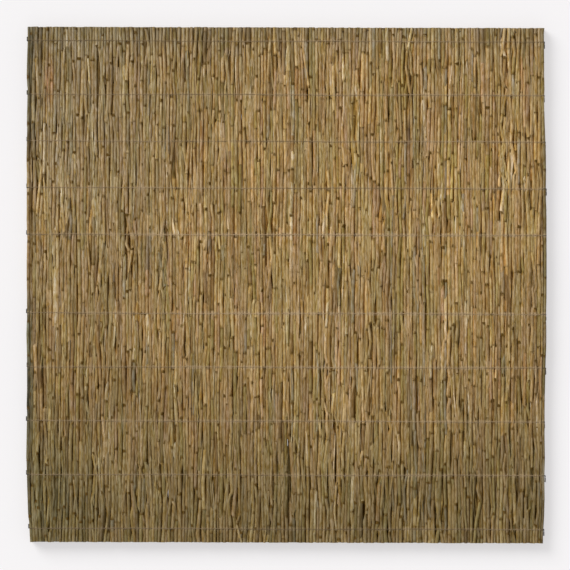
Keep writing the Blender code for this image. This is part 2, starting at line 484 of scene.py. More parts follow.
@dataclass(frozen=True)
class ZincFinish(Finish):
    """Galvanised wire gone dull, with pale bloom, tarnished staples and painted shade at its twisted ends."""

    name: str = "galvanised_wire"
    pale: Colour = (0.550, 0.398, 0.235)
    dull: Colour = (0.348, 0.244, 0.124)
    dirt: Colour = (0.230, 0.155, 0.065)
    shade_and_tarnish: Colour = (0.022, 0.024, 0.015)
    bloom_scale: Colour = (170.0, 170.0, 170.0)
    metallic: float = 0.30
    roughness: float = 0.55

    def paint(self, board: Board) -> None:
        """Adds the nodes, which read painted tail shade, tarnishing, dirt and painted light from the marks.
        """
        shade_and_tarnish, dirt, light = board.parts(board.attribute("marks"))
        bloom = board.noise(board.place(), self.bloom_scale, 3.0)
        colour = board.blend(bloom.between(0.36, 0.62), self.dull, self.pale)
        colour = board.blend(dirt * (0.6 + 0.6 * bloom), colour, self.dirt)
        # Painted shade darkens the twisted tails; the staples are tarnished.
        colour = board.blend(shade_and_tarnish * (0.7 + 0.6 * bloom), colour, self.shade_and_tarnish)
        # Painted light and shade: each row as light as the panel's painted light there, darker to the left.
        colour = board.vector("MULTIPLY", colour, light)
        board.surface({"Base Color": colour, "Metallic": self.metallic, "Roughness": self.roughness})


@dataclass(frozen=True)
class FloorFinish(Finish):
    """Plain pale floor that keeps a soft shadow and shows the camera part of its bare colour."""

    name: str = "pale_floor"
    colour: Colour = (0.930, 0.913, 0.921)
    own_light: float = 0.580

    def paint(self, board: Board) -> None:
        """Adds the nodes."""
        matt = board.shader("ShaderNodeBsdfDiffuse", self.colour)
        plain = board.shader("ShaderNodeEmission", self.colour, 1.0)
        board.end("ShaderNodeOutputMaterial", board.mix_shaders(board.seen() * self.own_light, matt, plain))


@dataclass
class Skin:
    """The mesh of one piece while it is made: rings of points joined into closed tubes."""

    points: list[np.ndarray] = field(default_factory=list)
    quads: list[np.ndarray] = field(default_factory=list)
    quad_uvs: list[np.ndarray] = field(default_factory=list)
    fans: list[np.ndarray] = field(default_factory=list)
    fan_uvs: list[np.ndarray] = field(default_factory=list)
    tints: list[np.ndarray] = field(default_factory=list)
    marks: list[np.ndarray] = field(default_factory=list)
    count: int = 0

    def tube(
        self,
        rings: np.ndarray,
        tints: np.ndarray,
        marks: np.ndarray,
        across: tuple[float, float],
        along: np.ndarray,
    ) -> None:
        """Adds a tube of rings, closed by a fan of faces at both ends.

        Args:
            rings: The points of the rings, ring by ring (rings, sides, 3).
            tints: The colour of each point (rings, sides, 3).
            marks: What the finish reads at each point (rings, sides, 3).
            across: The left and right edge of the tube's strip in the flat layout.
            along: The place of each ring along that strip, with one more for each end's middle.
        """
        ring_count, sides = rings.shape[:2]
        grid = self.count + np.arange(ring_count * sides).reshape(ring_count, sides)
        turned = np.roll(grid, -1, axis=1)
        self.quads.append(joined(grid[:-1], grid[1:], turned[1:], turned[:-1]).reshape(-1, 4))
        u = np.linspace(*across, sides + 1)
        left, right, halfway = u[:-1], u[1:], (u[:-1] + u[1:]) / 2
        low, high = along[1:-2, None], along[2:-1, None]
        corners = joined(left, low), joined(left, high), joined(right, high), joined(right, low)
        self.quad_uvs.append(np.stack(corners, axis=-2).reshape(-1, 4, 2))
        bottom = self.count + ring_count * sides
        for middle, ring, after, v_middle, v_ring, u_ring, u_after in (
            (bottom, grid[0], turned[0], along[0], along[1], left, right),
            (bottom + 1, turned[-1], grid[-1], along[-1], along[-2], right, left),
        ):
            self.fans.append(joined(middle, ring, after))
            corners = joined(halfway, v_middle), joined(u_ring, v_ring), joined(u_after, v_ring)
            self.fan_uvs.append(np.stack(corners, axis=-2))
        self.points += [rings.reshape(-1, 3), rings[[0, -1]].mean(axis=1)]
        self.tints += [tints.reshape(-1, 3), tints[[0, -1], 0]]
        self.marks += [marks.reshape(-1, 3), marks[[0, -1], 0]]
        self.count += ring_count * sides + 2

    def piece(self, name: str, material: bpy.types.Material, sharp: float = 65.0) -> bpy.types.Object:
        """Makes the object.

        Args:
            name: Its name.
            material: Its finish.
            sharp: The angle between two faces, in degrees, from which their edge is sharp.

        Returns:
            The new object, linked to the scene.
        """
        quads, fans = np.concatenate(self.quads), np.concatenate(self.fans)
        mesh = bpy.data.meshes.new(name)
        mesh.vertices.add(self.count)
        mesh.vertices.foreach_set("co", np.concatenate(self.points).astype(np.float32).ravel())
        corners = np.concatenate([quads.ravel(), fans.ravel()]).astype(np.int32)
        starts = np.concatenate([np.arange(len(quads)) * 4, quads.size + np.arange(len(fans)) * 3])
        mesh.loops.add(len(corners))
        mesh.loops.foreach_set("vertex_index", corners)
        mesh.polygons.add(len(starts))
        mesh.polygons.foreach_set("loop_start", starts.astype(np.int32))
        mesh.polygons.foreach_set("use_smooth", np.ones(len(starts), bool))
        mesh.update(calc_edges=True)
        flat = np.concatenate([np.concatenate(self.quad_uvs).ravel(), np.concatenate(self.fan_uvs).ravel()])
        mesh.uv_layers.new(name=UV_NAME).data.foreach_set("uv", flat.astype(np.float32))
        for label, rows in (("tint", self.tints), ("marks", self.marks)):
            colours = np.ones((self.count, 4), np.float32)
            colours[:, :3] = np.concatenate(rows)
            attribute = mesh.color_attributes.new(label, "FLOAT_COLOR", "POINT")
            attribute.data.foreach_set("color", colours.ravel())
        mesh.set_sharp_from_angle(angle=math.radians(sharp))
        mesh.materials.append(material)
        return placed(name, mesh)


@dataclass
class Stack:
    """All the stalks of the panel as they lie in it, packed between the wires.

    The middle line of each stalk is kept at a number of stations along the panel. The waves are the
    number of them along a stalk and how far they sway it across and up, in shares of the wander.
    """

    seed: int = PANEL_SEED
    pitch: float = 0.01220
    thickness: float = 0.0115
    overlap: float = 1.03
    girth: Chance = Chance(1.0, 0.20, 0.55, 1.34)
    taper: float = 0.11
    tip_up_share: float = 0.6
    layer_z: tuple[float, ...] = (0.0398, 0.0300, 0.0197, 0.0095)
    height_jitter: float = 0.0012
    rim_radius: float = 0.0053
    lean: float = 0.0052
    wander: float = 0.0027
    waves: tuple[tuple[float, float, float], ...] = (
        (0.8, 1.0, 0.6), (2.1, 1.0, 0.7), (4.6, 0.8, 0.7), (8.5, 0.5, 0.5), (13.0, 0.25, 0.3),
    )
    place_jitter: float = 0.0022
    stations: int = 73
    sweeps: int = 45
    ease: float = 0.7
    reach: int = 16
    play: float = 0.0003
    y: np.ndarray = field(init=False)
    x: np.ndarray = field(init=False)
    z: np.ndarray = field(init=False)
    radius: np.ndarray = field(init=False)
    layer: np.ndarray = field(init=False)
    start: np.ndarray = field(init=False)
    tip_up: np.ndarray = field(init=False)

    def __post_init__(self) -> None:
        """Lays the stalks side by side and lets them settle."""
        self._lay()
        self._settle()

    def _places(self, layer: Layer, rng: np.random.Generator) -> tuple[np.ndarray, np.ndarray]:
        """Where the stalks of a layer start out across the panel, and how wide they are."""
        if layer in (Layer.FACE, Layer.BACK):
            places, widths = PLAN.ridges(layer is Layer.BACK).T
            return places, widths * self.overlap
        count = int(2 * PLAN.edge / self.pitch)
        stagger = 0.25 if layer is Layer.SECOND else 0.75
        places = -PLAN.edge + (np.arange(count) + stagger) * 2 * PLAN.edge / count
        places = places + rng.normal(0.0, self.place_jitter, count)
        return places, self.thickness * self.girth.draw(rng, count)

    def _lay(self) -> None:
        """Lays the stalks of every layer, tapering, leaning and bending a little."""
        rng = np.random.default_rng(self.seed)
        self.y = np.linspace(-PLAN.half_height, PLAN.half_height, self.stations)
        share = self.y / (2 * PLAN.half_height)
        places, widths = zip(*(self._places(layer, rng) for layer in Layer))
        layers = [np.full(len(rows), layer.value) for layer, rows in zip(Layer, places)]
        start = np.concatenate(places)
        order = np.argsort(start, kind="stable")
        self.start, self.layer = start[order], np.concatenate(layers)[order]
        size = np.concatenate(widths)[order] / 2
        for layer in Layer:
            rims = np.flatnonzero(self.layer == layer.value)[[0, -1]]
            size[rims] = np.clip(size[rims], self.rim_radius, None)
        total = len(start)
        self.tip_up = rng.random(total) < self.tip_up_share
        way = np.where(self.tip_up, -1.0, 1.0)
        self.radius = size[:, None] * (1.0 + self.taper * way[:, None] * 2 * share[None, :])
        lean = rng.normal(0.0, self.lean, (total, 1))
        self.x = self.start[:, None] + lean * self.y[None, :]
        self.z = np.array(self.layer_z)[self.layer][:, None] + rng.normal(0.0, self.height_jitter, (total, 1))
        self.z = np.repeat(self.z, self.stations, axis=1)
        for count, size_x, size_z in self.waves:
            phase = rng.uniform(0.0, TURN, (2, total, 1))
            height = rng.normal(0.0, self.wander, (2, total, 1))
            turn = TURN * count * rng.uniform(0.8, 1.25, (total, 1)) * share[None, :]
            self.x += size_x * height[0] * np.sin(turn + phase[0])
            self.z += size_z * height[1] * np.sin(turn + phase[1])

    def _soften(self, lines: np.ndarray) -> np.ndarray:
        """Spreads a movement along the stalks, which are stiff."""
        padded = np.pad(lines, ((0, 0), (2, 2)), mode="edge")
        weights = (0.15, 0.22, 0.26, 0.22, 0.15)
        return sum(w * padded[:, i : i + lines.shape[1]] for i, w in enumerate(weights))

    def _settle(self) -> None:
        """Pushes overlapping stalks apart and holds them between the wires and the outline."""
        top = PLAN.front_z + PLAN.slack(self.y) - self.play
        bottom = PLAN.back_z - PLAN.slack(self.y) + self.play
        left = -PLAN.half_width(self.y, right=False)
        right = PLAN.half_width(self.y, right=True)
        for _ in range(self.sweeps):
            move_x, move_z = np.zeros_like(self.x), np.zeros_like(self.z)
            for gap in range(1, self.reach):
                dx, dz = self.x[gap:] - self.x[:-gap], self.z[gap:] - self.z[:-gap]
                apart = np.hypot(dx, dz) + 1e-6
                push = np.clip(self.radius[gap:] + self.radius[:-gap] - apart, 0.0, None) * 0.5 / apart
                for move, step in ((move_x, push * dx), (move_z, push * dz)):
                    move[gap:] += step
                    move[:-gap] -= step
            self.x += self.ease * self._soften(move_x)
            self.z += self.ease * self._soften(move_z)
            self._hold(top, bottom, left, right)

    def _hold(self, top: np.ndarray, bottom: np.ndarray, left: np.ndarray, right: np.ndarray) -> None:
        """Keeps every stalk inside the wires and the outline, and each layer's first and last at its rim."""
        self.z = np.clip(self.z, bottom + self.radius, top - self.radius)
        self.x = np.clip(self.x, left + self.radius, right - self.radius)
        for number, height in enumerate(self.layer_z):
            members = np.flatnonzero(self.layer == number)
            for rim, edge, side in ((members[0], left, 1.0), (members[-1], right, -1.0)):
                self.x[rim] = edge + side * self.radius[rim]
                self.z[rim] = np.clip(height, bottom + self.radius[rim], top - self.radius[rim])

    def line(self, index: int, y: np.ndarray) -> tuple[np.ndarray, np.ndarray, np.ndarray]:
        """The places across, the heights and the radii of one stalk at places along the panel."""
        return tuple(np.interp(y, self.y, rows[index]) for rows in (self.x, self.z, self.radius))

    def face_height(self, x: np.ndarray, y: float, front: bool = True) -> np.ndarray:
        """How high the reeds stand along a line across the panel.

        Args:
            x: Places along the line.
            y: The line's place on the panel.
            front: True for the face, False for the back.

        Returns:
            The height of the outermost reed at each place.
        """
        station = (y + PLAN.half_height) / (2 * PLAN.half_height) * (self.stations - 1)
        low = int(np.clip(math.floor(station), 0, self.stations - 2))
        part = station - low
        at_x, at_z, size = (
            rows[:, low] * (1 - part) + rows[:, low + 1] * part for rows in (self.x, self.z, self.radius)
        )
        reach = np.clip(size[:, None] ** 2 - (x[None, :] - at_x[:, None]) ** 2, 0.0, None)
        if front:
            return np.where(reach > 0, at_z[:, None] + np.sqrt(reach), PLAN.back_z).max(axis=0)
        return np.where(reach > 0, at_z[:, None] - np.sqrt(reach), PLAN.front_z).min(axis=0)


@dataclass(frozen=True)
class Detail:
    """How finely the stalks of one layer are made and how wide their strips are in the flat layout.

    A stalk with joints but not fine has fewer rings at each joint.
    """

    sides: int
    joints: bool
    fine: bool
    strip: float


DETAILS: dict[Layer, Detail] = {
    Layer.FACE: Detail(sides=10, joints=True, fine=True, strip=1.00),
    Layer.SECOND: Detail(sides=8, joints=True, fine=False, strip=0.85),
    Layer.THIRD: Detail(sides=8, joints=False, fine=False, strip=0.22),
    Layer.BACK: Detail(sides=8, joints=True, fine=True, strip=0.80),
}


@dataclass(frozen=True)
class WeatherAndPaintedLight:
    """How the reeds have weathered over the face of the panel, and the light and shade painted over it.

    The painted light and the painted shade of the left rim are curves over the height of the panel.
    The light is lower towards the foot, partly for the reeds' darker butt ends, partly as painted shade.
    The side light is how light the left side is painted and how much is added from there to the middle.
    Of the painted slits and patches, the narrow ones are painted shade in slits between stalks and
    the broad ones are painted darker or, below 0, lighter stretches.
    """

    seed: int = PANEL_SEED + 3
    light: Pairs = (
        (-0.90, 0.62), (-0.85, 0.64), (-0.70, 0.68), (-0.57, 0.76), (-0.28, 0.93),
        (0.00, 0.99), (0.35, 1.02), (0.70, 1.02), (0.83, 1.00), (0.90, 0.95),
    )
    rim_shade: Pairs = (
        (-0.90, 0.40), (-0.60, 0.60), (-0.45, 1.15), (-0.14, 1.15),
        (0.02, 0.10), (0.45, 0.00), (0.60, 0.75), (0.90, 0.65),
    )
    left_rim: tuple[float, float] = (-0.872, -0.900)
    right_rim: tuple[float, float] = (0.885, 0.905)
    right_rim_shade: float = 0.45
    rim_shade_depth: float = 0.35
    side_light: tuple[float, float] = (0.95, 0.08)
    mottle: float = 0.052
    mottle_waves: int = 26
    drift_share: float = 0.42
    drift_waves: int = 18
    mean_tint: float = 0.235
    dry_head: float = 0.35
    green_foot: float = 0.40
    head_shade_and_grey: float = 0.22
    rim_shade_grey: float = 0.75
    most_dry: float = 0.8
    most: float = 0.9
    painted_slits_and_patches: tuple[Patch, ...] = (
        Patch(-0.800, -0.640, 0.0040, 0.210, 0.62),
        Patch(-0.620, -0.625, 0.0045, 0.045, 0.62),
        Patch(-0.405, -0.530, 0.0045, 0.028, 0.62),
        Patch(-0.320, -0.735, 0.0060, 0.032, 0.62),
        Patch(-0.170, -0.722, 0.0070, 0.030, 0.62),
        Patch(0.425, 0.555, 0.0045, 0.045, 0.62),
        Patch(0.338, 0.290, 0.0045, 0.035, 0.62),
        Patch(0.700, -0.620, 0.2000, 0.160, 0.16),
        Patch(-0.740, -0.570, 0.1500, 0.110, -0.15),
        Patch(-0.820, 0.330, 0.1500, 0.180, -0.17),
        Patch(-0.760, -0.270, 0.1300, 0.170, 0.10),
    )
    mossy: Patch = Patch(-0.88, -0.75, 0.22, 0.30, 0.50)
    dusty: Patch = Patch(-0.85, 0.55, 0.45, 0.55, 0.10)
    dry: Patch = Patch(-0.80, 0.62, 0.45, 0.55, 0.48)
    warm: Patch = Patch(-0.829, 0.709, 0.012, 0.044, 0.95)
    rosy: Colour = (0.358, 0.215, 0.103)
    green: Colour = (0.284, 0.221, 0.082)
    orange: Colour = (0.610, 0.300, 0.135)
    ash: Colour = (0.290, 0.236, 0.140)
    foot_green: Colour = (0.262, 0.215, 0.092)
    shade_and_dust_grey: Colour = (0.158, 0.148, 0.082)

    def patches(self, x: np.ndarray, y: np.ndarray) -> np.ndarray:
        """How much lighter or darker patches of the panel are, about 1."""
        rng = np.random.default_rng(self.seed)
        total = np.zeros_like(x)
        for _ in range(self.mottle_waves):
            wave = rng.uniform(0.07, 0.60)
            turn = rng.uniform(0.0, math.pi)
            phase = rng.uniform(0.0, TURN)
            total += np.sin((x * math.cos(turn) + y * 0.55 * math.sin(turn)) * TURN / wave + phase)
        return 1.0 + self.mottle * total / math.sqrt(self.mottle_waves / 2)

    def drift(self, x: np.ndarray, y: np.ndarray) -> np.ndarray:
        """How far narrow upright stretches run to a rosy tone, above 0, or to a green one, below 0."""
        rng = np.random.default_rng(self.seed + 1)
        total = np.zeros_like(x)
        for _ in range(self.drift_waves):
            across, along = rng.uniform(0.022, 0.110), rng.uniform(0.35, 1.20)
            turn = TURN * (x / across + y / along * rng.choice((-1.0, 1.0)))
            total += np.sin(turn + rng.uniform(0.0, TURN))
        return np.clip(total / math.sqrt(self.drift_waves), -1.0, 1.0)

    def over(self, tint: np.ndarray, x: np.ndarray, y: np.ndarray) -> np.ndarray:
        """Weathers colours by where they are on the panel and paints light and shade over them.

        Args:
            tint: The colours before (places, 3).
            x: Places across the panel.
            y: Places along it.

        Returns:
            The weathered colours.
        """
        # Painted shade along the left rim, varying with height, and along the right rim.
        left = smooth(*self.left_rim, x) * along_curve(self.rim_shade, y)
        right = smooth(*self.right_rim, x) * self.right_rim_shade
        # Painted light: lower towards the foot, partly for the reeds' darker butt ends, and lower to the
        # left.
        least, more = self.side_light
        light = along_curve(self.light, y) * (least + more * smooth(-0.9, 0.0, x))
        light = light * (1.0 - self.rim_shade_depth * left) * (1.0 - self.rim_shade_depth * right) * self.patches(x, y)
        # Painted shade in slits between stalks, and painted darker and lighter stretches.
        for seam in self.painted_slits_and_patches:
            light = light * (1.0 - seam.over(x, y))
        dry = np.clip(self.dry.over(x, y) + self.dry_head * smooth(0.70, 0.90, y), 0.0, self.most_dry)
        green = np.clip(self.green_foot * smooth(-0.30, -0.86, y) + self.mossy.over(x, y), 0.0, self.most)
        # Mixing to the dark grey paints shade on the rims and at the head, and greys the head and the dusty
        # patch.
        grey = self.head_shade_and_grey * smooth(0.80, 0.90, y) + self.rim_shade_grey * left + right + self.dusty.over(x, y)
        shade = tint.mean(axis=-1, keepdims=True) / self.mean_tint
        drift = self.drift(x, y)[..., None]
        for colour, share in (
            (np.where(drift > 0, self.rosy, self.green) * shade, np.abs(drift[..., 0]) * self.drift_share),
            (np.array(self.ash) * shade, dry),
            (np.array(self.orange), self.warm.over(x, y)),
            (np.array(self.foot_green) * shade, green),
            (np.array(self.shade_and_dust_grey) * shade, np.clip(grey, 0.0, self.most)),
        ):
            tint = mixed(tint, colour, share[..., None])
        return tint * light[..., None]


class Ring(NamedTuple):
    """One ring of a stalk: its place along the stalk, its colour and girth, and what it shows there."""

    place: float
    tint: np.ndarray
    girth: float = 1.0
    joint: float = 0.0
    scar: float = 0.0
    slant: float = 0.0
    sheath: float = 0.0


@dataclass(frozen=True)
class JointRing:
    """One of the rings at a joint: how far above it, its girth, if not the stalk's, and how dark it is."""

    above: float
    girth: float | None
    dark: float
    scar: float
    fine: bool = False


JOINT_RINGS = (
    JointRing(-0.0055, girth=1.00, dark=0.00, scar=0.0),
    JointRing(0.0, girth=1.09, dark=0.75, scar=1.0),
    JointRing(0.0072, girth=None, dark=0.12, scar=0.9),
    JointRing(-0.0015, girth=1.03, dark=0.10, scar=0.3, fine=True),
    JointRing(0.0026, girth=1.02, dark=0.62, scar=1.0, fine=True),
    JointRing(0.0120, girth=None, dark=0.00, scar=0.0, fine=True),
)


@dataclass
class Culm:
    """One reed stalk between its two cuts, with its joints, sheaths and hollow ends."""

    index: int
    stack: Stack
    layer: Layer
    seed: int
    first_joint: float = 0.18
    joint_gap: tuple[float, float] = (0.105, 0.215)
    joint_dark: Chance = Chance(0.72, 0.28, 0.15, 1.0)
    own_spread: float = 0.10
    same_tone_share: float = 0.45
    bare_light: Chance = Chance(1.0, 0.10, 0.70, 1.30)
    bare_middle: tuple[float, float] = (0.35, 0.65)
    sheath_share: float = 0.48
    sheath_light: Chance = Chance(1.03, 0.13, 0.70, 1.40)
    sheath_girth: float = 1.055
    sheath_end: tuple[float, float] = (0.40, 0.93)
    least_sheath: float = 0.0140
    slants: tuple[float, float] = (0.004, 0.024)
    lip_step: float = 0.0012
    lip_fade: float = 0.0030
    lip_dark: float = 0.22
    scar_share: float = 0.75
    scar_depth: tuple[float, float] = (0.6, 1.5)
    scar_width: float = 0.80
    scar_side: tuple[float, float] = (0.15, 0.85)
    plain_light: float = 0.85
    plain_margin: float = 0.05
    plain_rings: int = 9
    wall: float = 0.24
    wall_play: tuple[float, float] = (0.8, 1.3)
    # Painted shade in the hollow ends: a near-black bottom and a slightly darker inner wall.
    bore_shade: Colour = (0.030, 0.022, 0.012)
    bore_depth: float = 0.014
    bore_play: tuple[float, float] = (0.5, 1.3)
    wall_light: float = 0.9
    # Painted shade: the shaded tint of the inner layers' stalks.
    shaded: Colour = (1.03, 0.95, 0.68)
    # Painted shade, brown, on the flanks that face into the panel.
    flank_shade: Colour = (1.46, 0.95, 0.05)
    turned: tuple[float, float] = (-0.35, 0.80)
    turned_out: tuple[float, float] = (-0.35, 0.60)
    side_rim: tuple[float, float] = (0.880, 0.892)
    end_rim: tuple[float, float] = (0.872, 0.898)
    end_light: float = 0.65
    cut_play: float = 0.0020
    cut_margin: float = 0.003
    reach: float = 0.9098
    heights: tuple[float, float] = (0.0006, 0.0478)
    end_strip: tuple[float, ...] = (0.0035, 0.0070, 0.0105)
    strip_margin: float = 0.014

    def _tone(self, rng: np.random.Generator, y: float) -> np.ndarray:
        """Picks the colour of one length of stalk between two joints."""
        foot = float(smooth(-0.2, -0.9, np.array(y)))
        tones = list(Tone)
        chances = np.array([tone.share + tone.foot_share * foot for tone in tones])
        return np.array(tones[rng.choice(len(tones), p=chances / chances.sum())].colour)

    def _rings(self, rng: np.random.Generator) -> list[Ring]:
        """Works out the stalk's rings from its butt to its tip.

        Args:
            rng: The stalk's own random numbers.

        Returns:
            The rings, whose places are counted from the butt.
        """
        length = 2 * PLAN.half_height
        own = self._tone(rng, 0.0) * rng.normal(1.0, self.own_spread)
        rings: list[Ring] = []
        place = -rng.uniform(0.0, self.first_joint)
        before = own
        while place < length:
            gap = rng.uniform(*self.joint_gap)
            tone = own if rng.random() < self.same_tone_share else self._tone(rng, place - PLAN.half_height)
            bare = tone * self.bare_light.draw(rng)
            sheathed = rng.random() < self.sheath_share
            cover = self._tone(rng, 0.0) * self.sheath_light.draw(rng)
            slant = rng.uniform(*self.slants)
            cover, girth = (cover, self.sheath_girth) if sheathed else (bare, 1.0)
            dark = self.joint_dark.draw(rng)
            scar = rng.uniform(*self.scar_depth) if rng.random() < self.scar_share else 0.0
            for ring in JOINT_RINGS:
                if DETAILS[self.layer].fine or not ring.fine:
                    tint, sheath = (cover, float(sheathed)) if ring.above > 0 else (before, 0.0)
                    shown = (ring.girth or girth, ring.dark * dark, ring.scar * scar, 0.0, sheath)
                    rings.append(Ring(place + ring.above, tint, *shown))
            middle = place + gap * rng.uniform(*self.bare_middle)
            end = max(place + gap * rng.uniform(*self.sheath_end), place + self.least_sheath + slant)
            if sheathed:
                rings.append(Ring(end, cover, girth, slant=slant, sheath=1.0))
                rings.append(Ring(end + self.lip_step, bare, joint=self.lip_dark, slant=slant))
                rings.append(Ring(end + self.lip_fade + slant, bare))
            else:
                rings.append(Ring(middle, bare))
            before = bare
            place += gap
        rings.sort(key=lambda ring: ring.place)
        margin = self.cut_margin
        return [ring for ring in rings if margin + ring.slant < ring.place < length - margin - ring.slant]

    def _plain_rings(self, rng: np.random.Generator) -> list[Ring]:
        """The few rings of a stalk that only its ends show of."""
        tone = self._tone(rng, 0.0) * self.plain_light
        end = 2 * PLAN.half_height - self.plain_margin
        return [Ring(place, tone) for place in np.linspace(self.plain_margin, end, self.plain_rings)]

    def _with_ends(self, rings: list[Ring], rng: np.random.Generator) -> list[Ring]:
        """Turns a stalk's rings to how it lies and adds its two hollow ends.

        Args:
            rings: The rings from the butt to the tip.
            rng: The stalk's own random numbers.

        Returns:
            The rings from the foot of the panel to its head, whose places are those on the panel.
        """
        half = PLAN.half_height
        if self.stack.tip_up[self.index]:
            rings = [ring._replace(place=ring.place - half) for ring in rings]
        else:
            rings = [ring._replace(place=half - ring.place) for ring in rings[::-1]]
        foot = -half + rng.uniform(0.0, self.cut_play)
        head = half - rng.uniform(0.0, self.cut_play)
        inner = 1.0 - self.wall * rng.uniform(*self.wall_play)
        deep = self.bore_depth * rng.uniform(*self.bore_play)
        first, last = rings[0].tint, rings[-1].tint
        return [
            Ring(foot + deep, first, inner), Ring(foot, first, inner), Ring(foot, first),
            *rings,
            Ring(head, last), Ring(head, last, inner), Ring(head - deep, last, inner),
        ]

    def add_to(self, skin: Skin, across: tuple[float, float], weather_and_painted_light: WeatherAndPaintedLight) -> None:
        """Adds the stalk to the mesh of its band.

        Args:
            skin: The mesh that is being made.
            across: The edges of the stalk's strip in the flat layout.
            weather_and_painted_light: How the reeds have weathered, and the light and shade painted on them.
        """
        rng = np.random.default_rng(self.seed)
        detail = DETAILS[self.layer]
        rings = self._with_ends(self._rings(rng) if detail.joints else self._plain_rings(rng), rng)
        y, tint, girth, joint, scar, slant, sheath = (np.array(column, float) for column in zip(*rings))
        x, z, radius = self.stack.line(self.index, y)
        angle = TURN * (np.arange(detail.sides) + rng.random()) / detail.sides
        scar_angle = rng.uniform(*self.scar_side) * math.pi
        lip = np.cos(angle - rng.uniform(0.0, TURN))
        size = (radius * girth)[:, None]
        wide = np.clip(x[:, None] + size * np.cos(angle), -self.reach, self.reach)
        tall = np.clip(z[:, None] + size * np.sin(angle), *self.heights)
        points = joined(wide, y[:, None] + slant[:, None] * lip, tall)
        near = np.exp(-((np.angle(np.exp(1j * (angle - scar_angle))) / self.scar_width) ** 2))
        dark = np.clip(joint[:, None] + scar[:, None] * near, 0.0, 1.0)
        marks = joined(dark, rng.random(), sheath[:, None])
        along = self.strip_margin + (1 - 2 * self.strip_margin) * (y / PLAN.half_height + 1) / 2
        along[:3] = self.end_strip
        along[-3:] = 1 - np.array(self.end_strip[::-1])
        tints = self._tints(weather_and_painted_light.over(tint, x, y), x, y, angle)
        skin.tube(points, tints, marks, across, np.concatenate([[0.0], along, [1.0]]))

    def _tints(self, tint: np.ndarray, x: np.ndarray, y: np.ndarray, angle: np.ndarray) -> np.ndarray:
        """Paints shade on a stalk's points: brown where they face into the panel, dark in the hollow ends.

        Args:
            tint: The colour of each ring, weathered and with painted light and shade (rings, 3).
            x: The rings' places across the panel.
            y: Their places along it.
            angle: The angle of each point in a ring.

        Returns:
            The colours of the points (rings, sides, 3).
        """
        rim = smooth(*self.side_rim, np.abs(x))[:, None]
        end = self.end_light * smooth(*self.end_rim, np.abs(y))[:, None]
        # Painted shade on the inner layers, bare where they show at the rims and the ends.
        if self.layer in (Layer.SECOND, Layer.THIRD):
            tint = tint * mixed(self.shaded, 1.0, np.maximum(rim, end))
        # Painted shade at the bottom of the hollow ends and on their inner walls.
        tint[[0, -1]] = self.bore_shade
        tint[[1, -2]] *= self.wall_light
        # Painted light and shade: points that face out of the panel, the ends and the rims' outer sides are
        # lit; the rest take the painted flank shade.
        facing = smooth(*self.turned, np.sin(angle) * (-1.0 if self.layer is Layer.BACK else 1.0))
        outward = rim * smooth(*self.turned_out, np.cos(angle) * np.sign(x)[:, None])
        lit = np.maximum(np.maximum(facing, end), outward)[..., None]
        return tint[:, None, :] * mixed(self.flank_shade, 1.0, lit)


@dataclass
class Husk:
    """A loose scrap of leaf sheath that lies on the face, pale, narrow and pointed at its ends."""

    x: float
    y: float
    length: float
    width: float
    slant: float
    tone: Tone
    seed: int
    thickness: float = 0.0011
    curl: float = 40.0
    sway: float = 0.0016
    sink: float = 0.0002
    heights: tuple[float, float] = (0.0420, 0.0469)
    steps: int = 11
    sides: int = 4

    def add_to(
        self,
        skin: Skin,
        stack: Stack,
        weather_and_painted_light: WeatherAndPaintedLight,
        across: tuple[float, float],
        along: tuple[float, float],
    ) -> None:
        """Adds the scrap to the mesh of its band.

        Args:
            skin: The mesh that is being made.
            stack: The stalks that the scrap lies on.
            weather_and_painted_light: How the reeds have weathered, and the light and shade painted on them.
            across: The left and right edge of its place in the flat layout.
            along: The lower and upper edge of that place.
        """
        rng = np.random.default_rng(self.seed)
        run = np.linspace(-0.5, 0.5, self.steps)
        y = self.y + run * self.length
        x = self.x + self.slant * run * self.length + self.sway * np.sin(run * 5.0 + rng.uniform(0, 6))
        rest = np.array([stack.face_height(np.array([px]), py)[0] for px, py in zip(x, y)])
        line = np.maximum(rest, np.interp(run, run[[0, -1]], rest[[0, -1]])) - self.sink
        z = np.clip(line, *self.heights)
        half = self.width / 2 * np.clip(1.15 - np.abs(run * 2) ** 3, 0.12, 1.0)
        half = half * rng.uniform(0.85, 1.1, self.steps)
        thick = self.thickness / 2 * np.clip(1.2 - np.abs(run * 2) ** 2, 0.25, 1.0)
        angle = TURN * np.arange(self.sides) / self.sides
        wave = np.cos(angle) * half[:, None]
        tall = z[:, None] + np.sin(angle) * thick[:, None] - self.curl * wave**2
        points = joined(x[:, None] + wave, y[:, None], tall)
        tint = np.array(self.tone.colour) * rng.uniform(0.85, 1.12) * rng.uniform(0.85, 1.1, (self.steps, 1))
        tints = np.repeat(weather_and_painted_light.over(tint, x, y)[:, None, :], self.sides, axis=1)
        marks = joined(np.zeros((self.steps, self.sides)), rng.random(), 1.0)
        skin.tube(points, tints, marks, across, np.linspace(*along, self.steps + 2))


HUSK_TONES: dict[Tone, float] = {
    Tone.CREAM: 0.09,
    Tone.STRAW: 0.25,
    Tone.GREY_BROWN: 0.15,
    Tone.GOLDEN: 0.16,
    Tone.TAN: 0.19,
    Tone.OLIVE: 0.08,
    Tone.BROWN: 0.08,
}

# The palest scraps: place across and along the panel, length, width and slant
PALE_SCRAPS: tuple[tuple[float, float, float, float, float], ...] = (
    (0.751, 0.444, 0.115, 0.0085, 0.03),
    (0.444, 0.112, 0.120, 0.0060, -0.20),
    (0.542, 0.314, 0.090, 0.0070, 0.00),
    (0.472, 0.628, 0.045, 0.0060, 0.00),
    (-0.520, -0.490, 0.040, 0.0065, 0.05),
)


